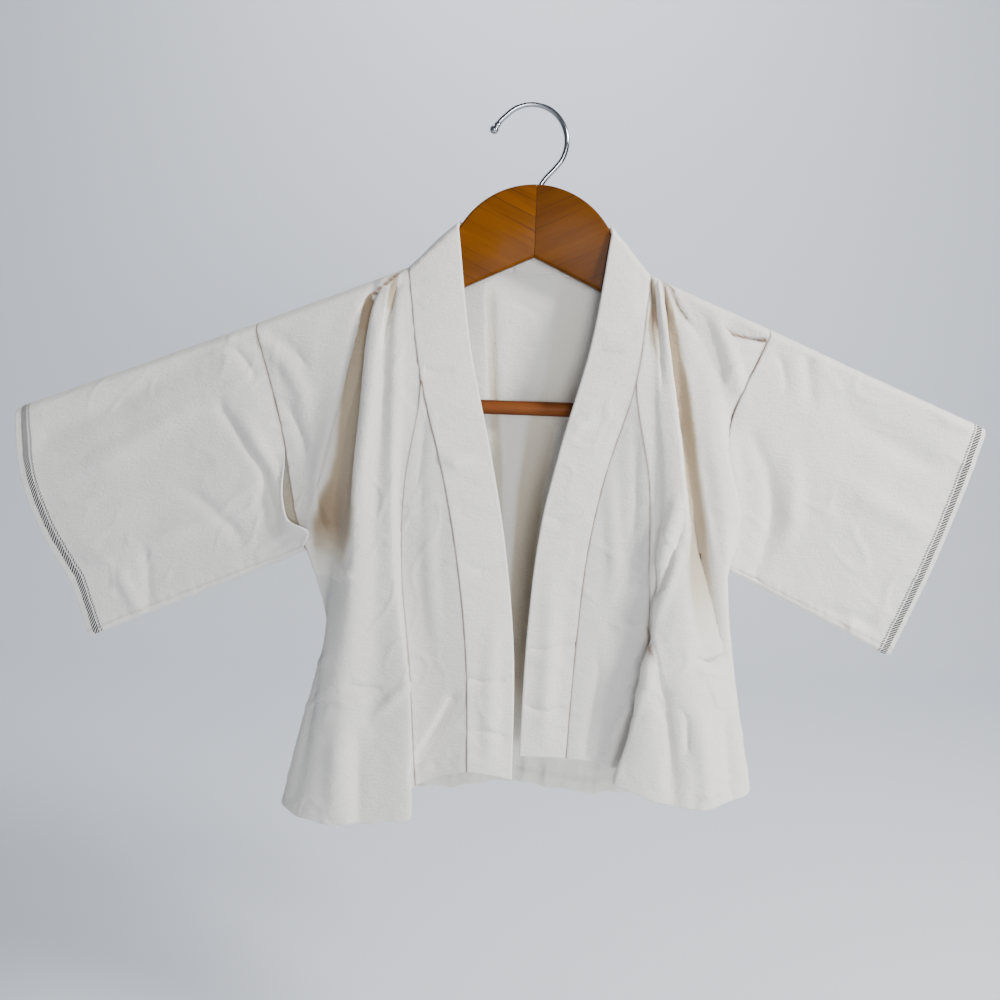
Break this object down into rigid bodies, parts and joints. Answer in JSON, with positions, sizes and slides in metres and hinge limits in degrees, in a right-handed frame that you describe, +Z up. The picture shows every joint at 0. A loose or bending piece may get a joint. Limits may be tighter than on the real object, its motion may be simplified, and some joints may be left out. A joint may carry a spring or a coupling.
{
  "type": "kimono robe on hanger",
  "caption": "Toddler's short open kimono robe of cream brushed cotton with wide flat sleeves, hung on a wooden hanger with a wire hook and a trouser bar.",
  "frame": {"origin": "the point under the top of the wire hook that rests on the nail or rail", "axes": "+Z up, +X to the right as seen from the front, +Y towards the wall behind"},
  "size_m": [0.6685, 0.0724, 0.4933],
  "materials": {
    "cotton": "brushed matte",
    "varnished_wood": "satin varnish",
    "chrome_wire": "bright"
  },
  "bodies": {
    "root": {"body_back": "cotton", "body_front_left": "cotton", "body_front_right": "cotton", "okumi_left": "cotton", "okumi_right": "cotton", "collar_left": "cotton", "collar_right": "cotton", "sleeve_left": "cotton", "sleeve_right": "cotton", "hanger_arm_left": "varnished_wood", "hanger_arm_right": "varnished_wood", "hanger_bar": "varnished_wood", "hanger_hook": "chrome_wire"}
  },
  "joints": []
}
